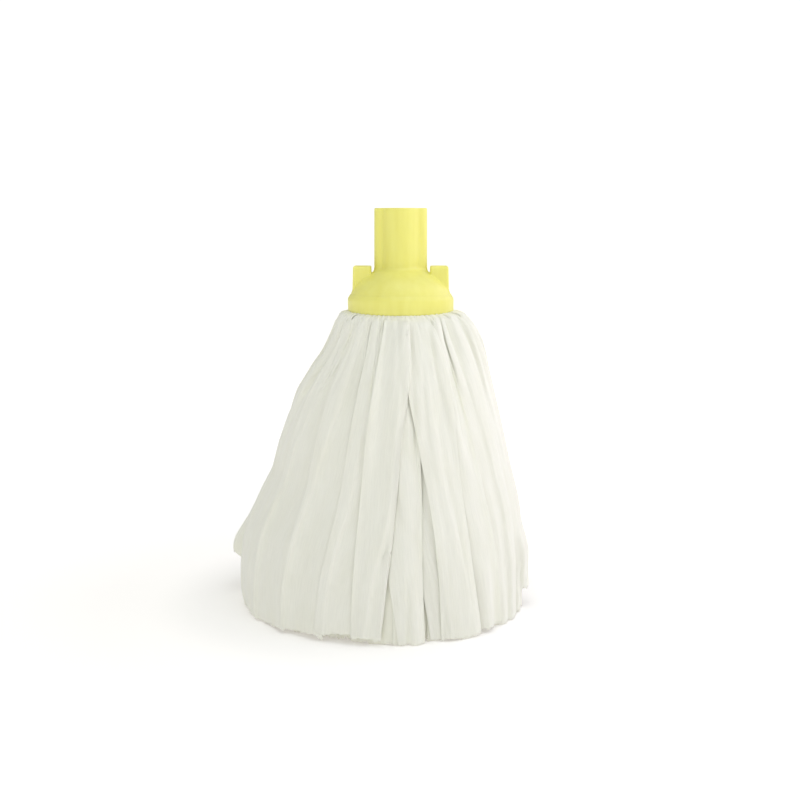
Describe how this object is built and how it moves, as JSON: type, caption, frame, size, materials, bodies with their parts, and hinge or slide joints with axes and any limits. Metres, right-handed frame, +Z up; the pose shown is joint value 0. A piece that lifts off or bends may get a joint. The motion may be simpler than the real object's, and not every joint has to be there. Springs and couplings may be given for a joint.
{
  "type": "socket mop head",
  "caption": "Mop head of wide white non-woven strips gathered under a pale yellow moulded socket with a blind bore for the handle.",
  "frame": {"origin": "centre of the handle bore's mouth, at the top of the tube; the strips' ends stand on the floor at z = -0.313", "axes": "+Z up along the handle bore, out of its mouth; +X towards one latch ear; the front of the head faces -Y"},
  "size_m": [0.2282, 0.2326, 0.313],
  "materials": {
    "yellow_moulding": "satin",
    "natural_moulding": "satin",
    "strip_cloth": "matte"
  },
  "bodies": {
    "head": {"socket": "yellow_moulding", "clamp_plug": "natural_moulding", "strip_heads": "strip_cloth"},
    "outer_strip_01": {"outer_strip_01": "strip_cloth"},
    "outer_strip_02": {"outer_strip_02": "strip_cloth"},
    "outer_strip_03": {"outer_strip_03": "strip_cloth"},
    "outer_strip_04": {"outer_strip_04": "strip_cloth"},
    "outer_strip_05": {"outer_strip_05": "strip_cloth"},
    "outer_strip_06": {"outer_strip_06": "strip_cloth"},
    "outer_strip_07": {"outer_strip_07": "strip_cloth"},
    "outer_strip_08": {"outer_strip_08": "strip_cloth"},
    "outer_strip_09": {"outer_strip_09": "strip_cloth"},
    "outer_strip_10": {"outer_strip_10": "strip_cloth"},
    "outer_strip_11": {"outer_strip_11": "strip_cloth"},
    "outer_strip_12": {"outer_strip_12": "strip_cloth"},
    "outer_strip_13": {"outer_strip_13": "strip_cloth"},
    "outer_strip_14": {"outer_strip_14": "strip_cloth"},
    "outer_strip_15": {"outer_strip_15": "strip_cloth"},
    "outer_strip_16": {"outer_strip_16": "strip_cloth"},
    "outer_strip_17": {"outer_strip_17": "strip_cloth"},
    "outer_strip_18": {"outer_strip_18": "strip_cloth"},
    "outer_strip_19": {"outer_strip_19": "strip_cloth"},
    "outer_strip_20": {"outer_strip_20": "strip_cloth"},
    "outer_strip_21": {"outer_strip_21": "strip_cloth"},
    "outer_strip_22": {"outer_strip_22": "strip_cloth"},
    "outer_strip_23": {"outer_strip_23": "strip_cloth"},
    "outer_strip_24": {"outer_strip_24": "strip_cloth"},
    "middle_strip_01": {"middle_strip_01": "strip_cloth"},
    "middle_strip_02": {"middle_strip_02": "strip_cloth"},
    "middle_strip_03": {"middle_strip_03": "strip_cloth"},
    "middle_strip_04": {"middle_strip_04": "strip_cloth"},
    "middle_strip_05": {"middle_strip_05": "strip_cloth"},
    "middle_strip_06": {"middle_strip_06": "strip_cloth"},
    "middle_strip_07": {"middle_strip_07": "strip_cloth"},
    "middle_strip_08": {"middle_strip_08": "strip_cloth"},
    "middle_strip_09": {"middle_strip_09": "strip_cloth"},
    "middle_strip_10": {"middle_strip_10": "strip_cloth"},
    "middle_strip_11": {"middle_strip_11": "strip_cloth"},
    "middle_strip_12": {"middle_strip_12": "strip_cloth"},
    "core_strip_01": {"core_strip_01": "strip_cloth"},
    "core_strip_02": {"core_strip_02": "strip_cloth"},
    "core_strip_03": {"core_strip_03": "strip_cloth"},
    "core_strip_04": {"core_strip_04": "strip_cloth"},
    "core_strip_05": {"core_strip_05": "strip_cloth"},
    "core_strip_06": {"core_strip_06": "strip_cloth"}
  },
  "joints": [
    {"name": "outer_strip_01_splay", "type": "hinge", "parent": "head", "child": "outer_strip_01", "pos_m": [0.038, 0, -0.0855], "axis": [0, -1, 0], "range_deg": [0, 40]},
    {"name": "outer_strip_02_splay", "type": "hinge", "parent": "head", "child": "outer_strip_02", "pos_m": [0.03671, 0.00984, -0.0855], "axis": [0.2588, -0.9659, 0], "range_deg": [0, 40]},
    {"name": "outer_strip_03_splay", "type": "hinge", "parent": "head", "child": "outer_strip_03", "pos_m": [0.03291, 0.019, -0.0855], "axis": [0.5, -0.866, 0], "range_deg": [0, 40]},
    {"name": "outer_strip_04_splay", "type": "hinge", "parent": "head", "child": "outer_strip_04", "pos_m": [0.02687, 0.02687, -0.0855], "axis": [0.7071, -0.7071, 0], "range_deg": [0, 40]},
    {"name": "outer_strip_05_splay", "type": "hinge", "parent": "head", "child": "outer_strip_05", "pos_m": [0.019, 0.03291, -0.0855], "axis": [0.866, -0.5, 0], "range_deg": [0, 40]},
    {"name": "outer_strip_06_splay", "type": "hinge", "parent": "head", "child": "outer_strip_06", "pos_m": [0.00984, 0.03671, -0.0855], "axis": [0.9659, -0.2588, 0], "range_deg": [0, 40]},
    {"name": "outer_strip_07_splay", "type": "hinge", "parent": "head", "child": "outer_strip_07", "pos_m": [0, 0.038, -0.0855], "axis": [1, 0, 0], "range_deg": [0, 40]},
    {"name": "outer_strip_08_splay", "type": "hinge", "parent": "head", "child": "outer_strip_08", "pos_m": [-0.00984, 0.03671, -0.0855], "axis": [0.9659, 0.2588, 0], "range_deg": [0, 40]},
    {"name": "outer_strip_09_splay", "type": "hinge", "parent": "head", "child": "outer_strip_09", "pos_m": [-0.019, 0.03291, -0.0855], "axis": [0.866, 0.5, 0], "range_deg": [0, 40]},
    {"name": "outer_strip_10_splay", "type": "hinge", "parent": "head", "child": "outer_strip_10", "pos_m": [-0.02687, 0.02687, -0.0855], "axis": [0.7071, 0.7071, 0], "range_deg": [0, 40]},
    {"name": "outer_strip_11_splay", "type": "hinge", "parent": "head", "child": "outer_strip_11", "pos_m": [-0.03291, 0.019, -0.0855], "axis": [0.5, 0.866, 0], "range_deg": [0, 40]},
    {"name": "outer_strip_12_splay", "type": "hinge", "parent": "head", "child": "outer_strip_12", "pos_m": [-0.03671, 0.00984, -0.0855], "axis": [0.2588, 0.9659, 0], "range_deg": [0, 40]},
    {"name": "outer_strip_13_splay", "type": "hinge", "parent": "head", "child": "outer_strip_13", "pos_m": [-0.038, 0, -0.0855], "axis": [0, 1, 0], "range_deg": [0, 40]},
    {"name": "outer_strip_14_splay", "type": "hinge", "parent": "head", "child": "outer_strip_14", "pos_m": [-0.03671, -0.00984, -0.0855], "axis": [-0.2588, 0.9659, 0], "range_deg": [0, 40]},
    {"name": "outer_strip_15_splay", "type": "hinge", "parent": "head", "child": "outer_strip_15", "pos_m": [-0.03291, -0.019, -0.0855], "axis": [-0.5, 0.866, 0], "range_deg": [0, 40]},
    {"name": "outer_strip_16_splay", "type": "hinge", "parent": "head", "child": "outer_strip_16", "pos_m": [-0.02687, -0.02687, -0.0855], "axis": [-0.7071, 0.7071, 0], "range_deg": [0, 40]},
    {"name": "outer_strip_17_splay", "type": "hinge", "parent": "head", "child": "outer_strip_17", "pos_m": [-0.019, -0.03291, -0.0855], "axis": [-0.866, 0.5, 0], "range_deg": [0, 40]},
    {"name": "outer_strip_18_splay", "type": "hinge", "parent": "head", "child": "outer_strip_18", "pos_m": [-0.00984, -0.03671, -0.0855], "axis": [-0.9659, 0.2588, 0], "range_deg": [0, 40]},
    {"name": "outer_strip_19_splay", "type": "hinge", "parent": "head", "child": "outer_strip_19", "pos_m": [0, -0.038, -0.0855], "axis": [-1, 0, 0], "range_deg": [0, 40]},
    {"name": "outer_strip_20_splay", "type": "hinge", "parent": "head", "child": "outer_strip_20", "pos_m": [0.00984, -0.03671, -0.0855], "axis": [-0.9659, -0.2588, 0], "range_deg": [0, 40]},
    {"name": "outer_strip_21_splay", "type": "hinge", "parent": "head", "child": "outer_strip_21", "pos_m": [0.019, -0.03291, -0.0855], "axis": [-0.866, -0.5, 0], "range_deg": [0, 40]},
    {"name": "outer_strip_22_splay", "type": "hinge", "parent": "head", "child": "outer_strip_22", "pos_m": [0.02687, -0.02687, -0.0855], "axis": [-0.7071, -0.7071, 0], "range_deg": [0, 40]},
    {"name": "outer_strip_23_splay", "type": "hinge", "parent": "head", "child": "outer_strip_23", "pos_m": [0.03291, -0.019, -0.0855], "axis": [-0.5, -0.866, 0], "range_deg": [0, 40]},
    {"name": "outer_strip_24_splay", "type": "hinge", "parent": "head", "child": "outer_strip_24", "pos_m": [0.03671, -0.00984, -0.0855], "axis": [-0.2588, -0.9659, 0], "range_deg": [0, 40]},
    {"name": "middle_strip_01_splay", "type": "hinge", "parent": "head", "child": "middle_strip_01", "pos_m": [0.02608, 0.00699, -0.0945], "axis": [0.2588, -0.9659, 0], "range_deg": [0, 40]},
    {"name": "middle_strip_02_splay", "type": "hinge", "parent": "head", "child": "middle_strip_02", "pos_m": [0.01909, 0.01909, -0.0945], "axis": [0.7071, -0.7071, 0], "range_deg": [0, 40]},
    {"name": "middle_strip_03_splay", "type": "hinge", "parent": "head", "child": "middle_strip_03", "pos_m": [0.00699, 0.02608, -0.0945], "axis": [0.9659, -0.2588, 0], "range_deg": [0, 40]},
    {"name": "middle_strip_04_splay", "type": "hinge", "parent": "head", "child": "middle_strip_04", "pos_m": [-0.00699, 0.02608, -0.0945], "axis": [0.9659, 0.2588, 0], "range_deg": [0, 40]},
    {"name": "middle_strip_05_splay", "type": "hinge", "parent": "head", "child": "middle_strip_05", "pos_m": [-0.01909, 0.01909, -0.0945], "axis": [0.7071, 0.7071, 0], "range_deg": [0, 40]},
    {"name": "middle_strip_06_splay", "type": "hinge", "parent": "head", "child": "middle_strip_06", "pos_m": [-0.02608, 0.00699, -0.0945], "axis": [0.2588, 0.9659, 0], "range_deg": [0, 40]},
    {"name": "middle_strip_07_splay", "type": "hinge", "parent": "head", "child": "middle_strip_07", "pos_m": [-0.02608, -0.00699, -0.0945], "axis": [-0.2588, 0.9659, 0], "range_deg": [0, 40]},
    {"name": "middle_strip_08_splay", "type": "hinge", "parent": "head", "child": "middle_strip_08", "pos_m": [-0.01909, -0.01909, -0.0945], "axis": [-0.7071, 0.7071, 0], "range_deg": [0, 40]},
    {"name": "middle_strip_09_splay", "type": "hinge", "parent": "head", "child": "middle_strip_09", "pos_m": [-0.00699, -0.02608, -0.0945], "axis": [-0.9659, 0.2588, 0], "range_deg": [0, 40]},
    {"name": "middle_strip_10_splay", "type": "hinge", "parent": "head", "child": "middle_strip_10", "pos_m": [0.00699, -0.02608, -0.0945], "axis": [-0.9659, -0.2588, 0], "range_deg": [0, 40]},
    {"name": "middle_strip_11_splay", "type": "hinge", "parent": "head", "child": "middle_strip_11", "pos_m": [0.01909, -0.01909, -0.0945], "axis": [-0.7071, -0.7071, 0], "range_deg": [0, 40]},
    {"name": "middle_strip_12_splay", "type": "hinge", "parent": "head", "child": "middle_strip_12", "pos_m": [0.02608, -0.00699, -0.0945], "axis": [-0.2588, -0.9659, 0], "range_deg": [0, 40]},
    {"name": "core_strip_01_splay", "type": "hinge", "parent": "head", "child": "core_strip_01", "pos_m": [0.01212, 0.007, -0.103], "axis": [0.5, -0.866, 0], "range_deg": [0, 44]},
    {"name": "core_strip_02_splay", "type": "hinge", "parent": "head", "child": "core_strip_02", "pos_m": [0, 0.014, -0.103], "axis": [1, 0, 0], "range_deg": [0, 44]},
    {"name": "core_strip_03_splay", "type": "hinge", "parent": "head", "child": "core_strip_03", "pos_m": [-0.01212, 0.007, -0.103], "axis": [0.5, 0.866, 0], "range_deg": [0, 44]},
    {"name": "core_strip_04_splay", "type": "hinge", "parent": "head", "child": "core_strip_04", "pos_m": [-0.01212, -0.007, -0.103], "axis": [-0.5, 0.866, 0], "range_deg": [0, 44]},
    {"name": "core_strip_05_splay", "type": "hinge", "parent": "head", "child": "core_strip_05", "pos_m": [0, -0.014, -0.103], "axis": [-1, 0, 0], "range_deg": [0, 44]},
    {"name": "core_strip_06_splay", "type": "hinge", "parent": "head", "child": "core_strip_06", "pos_m": [0.01212, -0.007, -0.103], "axis": [-0.5, -0.866, 0], "range_deg": [0, 44]}
  ],
  "couplings": [
    {"joint": "outer_strip_02_splay", "follows": "outer_strip_01_splay", "ratio": 1},
    {"joint": "outer_strip_03_splay", "follows": "outer_strip_01_splay", "ratio": 1},
    {"joint": "outer_strip_04_splay", "follows": "outer_strip_01_splay", "ratio": 1},
    {"joint": "outer_strip_05_splay", "follows": "outer_strip_01_splay", "ratio": 1},
    {"joint": "outer_strip_06_splay", "follows": "outer_strip_01_splay", "ratio": 1},
    {"joint": "outer_strip_07_splay", "follows": "outer_strip_01_splay", "ratio": 1},
    {"joint": "outer_strip_08_splay", "follows": "outer_strip_01_splay", "ratio": 1},
    {"joint": "outer_strip_09_splay", "follows": "outer_strip_01_splay", "ratio": 1},
    {"joint": "outer_strip_10_splay", "follows": "outer_strip_01_splay", "ratio": 1},
    {"joint": "outer_strip_11_splay", "follows": "outer_strip_01_splay", "ratio": 1},
    {"joint": "outer_strip_12_splay", "follows": "outer_strip_01_splay", "ratio": 1},
    {"joint": "outer_strip_13_splay", "follows": "outer_strip_01_splay", "ratio": 1},
    {"joint": "outer_strip_14_splay", "follows": "outer_strip_01_splay", "ratio": 1},
    {"joint": "outer_strip_15_splay", "follows": "outer_strip_01_splay", "ratio": 1},
    {"joint": "outer_strip_16_splay", "follows": "outer_strip_01_splay", "ratio": 1},
    {"joint": "outer_strip_17_splay", "follows": "outer_strip_01_splay", "ratio": 1},
    {"joint": "outer_strip_18_splay", "follows": "outer_strip_01_splay", "ratio": 1},
    {"joint": "outer_strip_19_splay", "follows": "outer_strip_01_splay", "ratio": 1},
    {"joint": "outer_strip_20_splay", "follows": "outer_strip_01_splay", "ratio": 1},
    {"joint": "outer_strip_21_splay", "follows": "outer_strip_01_splay", "ratio": 1},
    {"joint": "outer_strip_22_splay", "follows": "outer_strip_01_splay", "ratio": 1},
    {"joint": "outer_strip_23_splay", "follows": "outer_strip_01_splay", "ratio": 1},
    {"joint": "outer_strip_24_splay", "follows": "outer_strip_01_splay", "ratio": 1},
    {"joint": "middle_strip_01_splay", "follows": "outer_strip_01_splay", "ratio": 1},
    {"joint": "middle_strip_02_splay", "follows": "outer_strip_01_splay", "ratio": 1},
    {"joint": "middle_strip_03_splay", "follows": "outer_strip_01_splay", "ratio": 1},
    {"joint": "middle_strip_04_splay", "follows": "outer_strip_01_splay", "ratio": 1},
    {"joint": "middle_strip_05_splay", "follows": "outer_strip_01_splay", "ratio": 1},
    {"joint": "middle_strip_06_splay", "follows": "outer_strip_01_splay", "ratio": 1},
    {"joint": "middle_strip_07_splay", "follows": "outer_strip_01_splay", "ratio": 1},
    {"joint": "middle_strip_08_splay", "follows": "outer_strip_01_splay", "ratio": 1},
    {"joint": "middle_strip_09_splay", "follows": "outer_strip_01_splay", "ratio": 1},
    {"joint": "middle_strip_10_splay", "follows": "outer_strip_01_splay", "ratio": 1},
    {"joint": "middle_strip_11_splay", "follows": "outer_strip_01_splay", "ratio": 1},
    {"joint": "middle_strip_12_splay", "follows": "outer_strip_01_splay", "ratio": 1},
    {"joint": "core_strip_01_splay", "follows": "outer_strip_01_splay", "ratio": 1.1},
    {"joint": "core_strip_02_splay", "follows": "outer_strip_01_splay", "ratio": 1.1},
    {"joint": "core_strip_03_splay", "follows": "outer_strip_01_splay", "ratio": 1.1},
    {"joint": "core_strip_04_splay", "follows": "outer_strip_01_splay", "ratio": 1.1},
    {"joint": "core_strip_05_splay", "follows": "outer_strip_01_splay", "ratio": 1.1},
    {"joint": "core_strip_06_splay", "follows": "outer_strip_01_splay", "ratio": 1.1}
  ]
}
